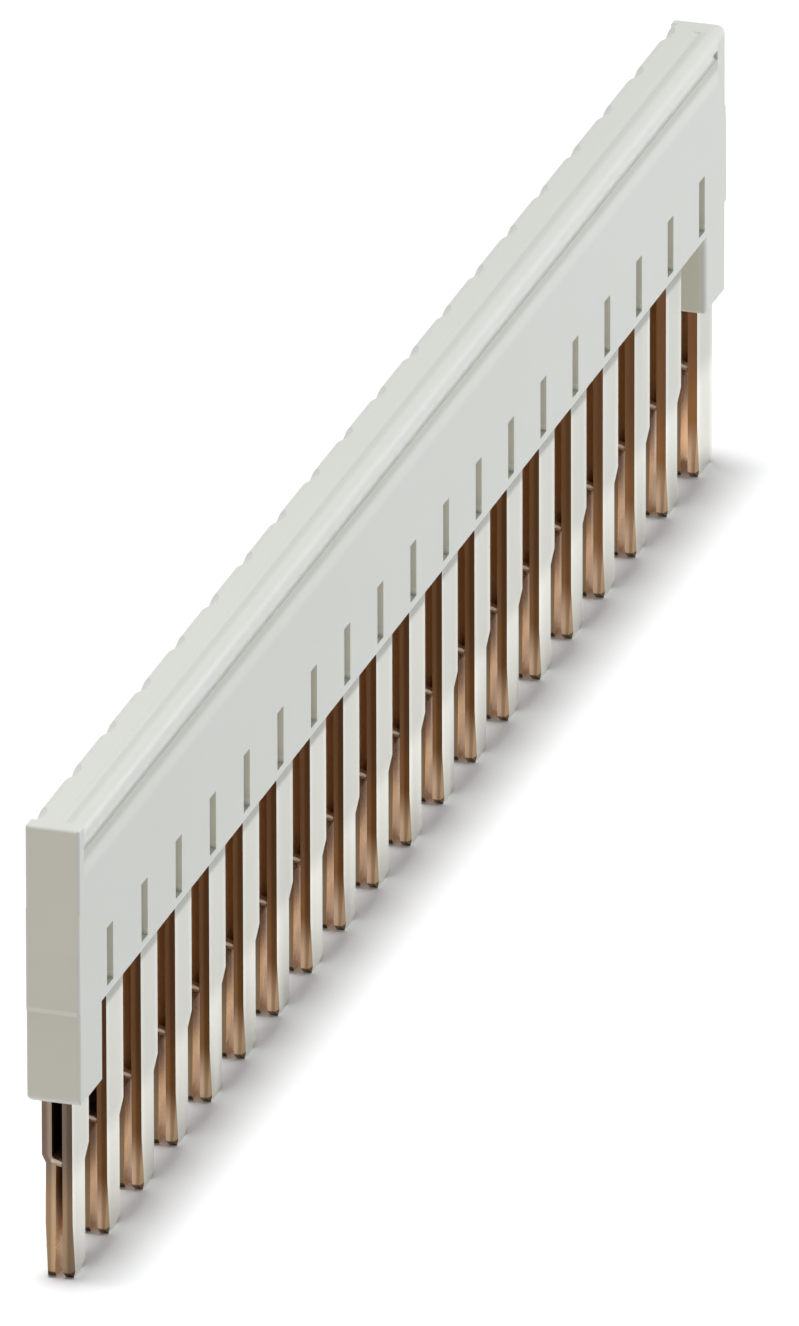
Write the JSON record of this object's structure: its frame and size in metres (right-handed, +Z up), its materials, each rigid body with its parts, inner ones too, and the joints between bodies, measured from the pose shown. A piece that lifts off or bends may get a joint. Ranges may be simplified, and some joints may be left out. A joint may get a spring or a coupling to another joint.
{
  "type": "terminal jumper",
  "caption": "Long thin plug-in jumper: a pale moulded insulating bar over a folded comb of paired contact leaves, which bridges a row of neighbouring terminal blocks.",
  "frame": {"origin": "middle of the bounding box on the plane of the leg tips", "axes": "+X along the row of legs, -Y out of the side face with the marker groove, +Z up from the tips to the crown"},
  "size_m": [0.1024, 0.0026, 0.0227],
  "materials": {
    "grey_plastic": "fine satin moulded",
    "tinned_copper": "tin-plated flat faces, bare stamped copper edges"
  },
  "bodies": {
    "root": {"insulating_body": "grey_plastic", "contact_comb": "tinned_copper"}
  },
  "joints": []
}
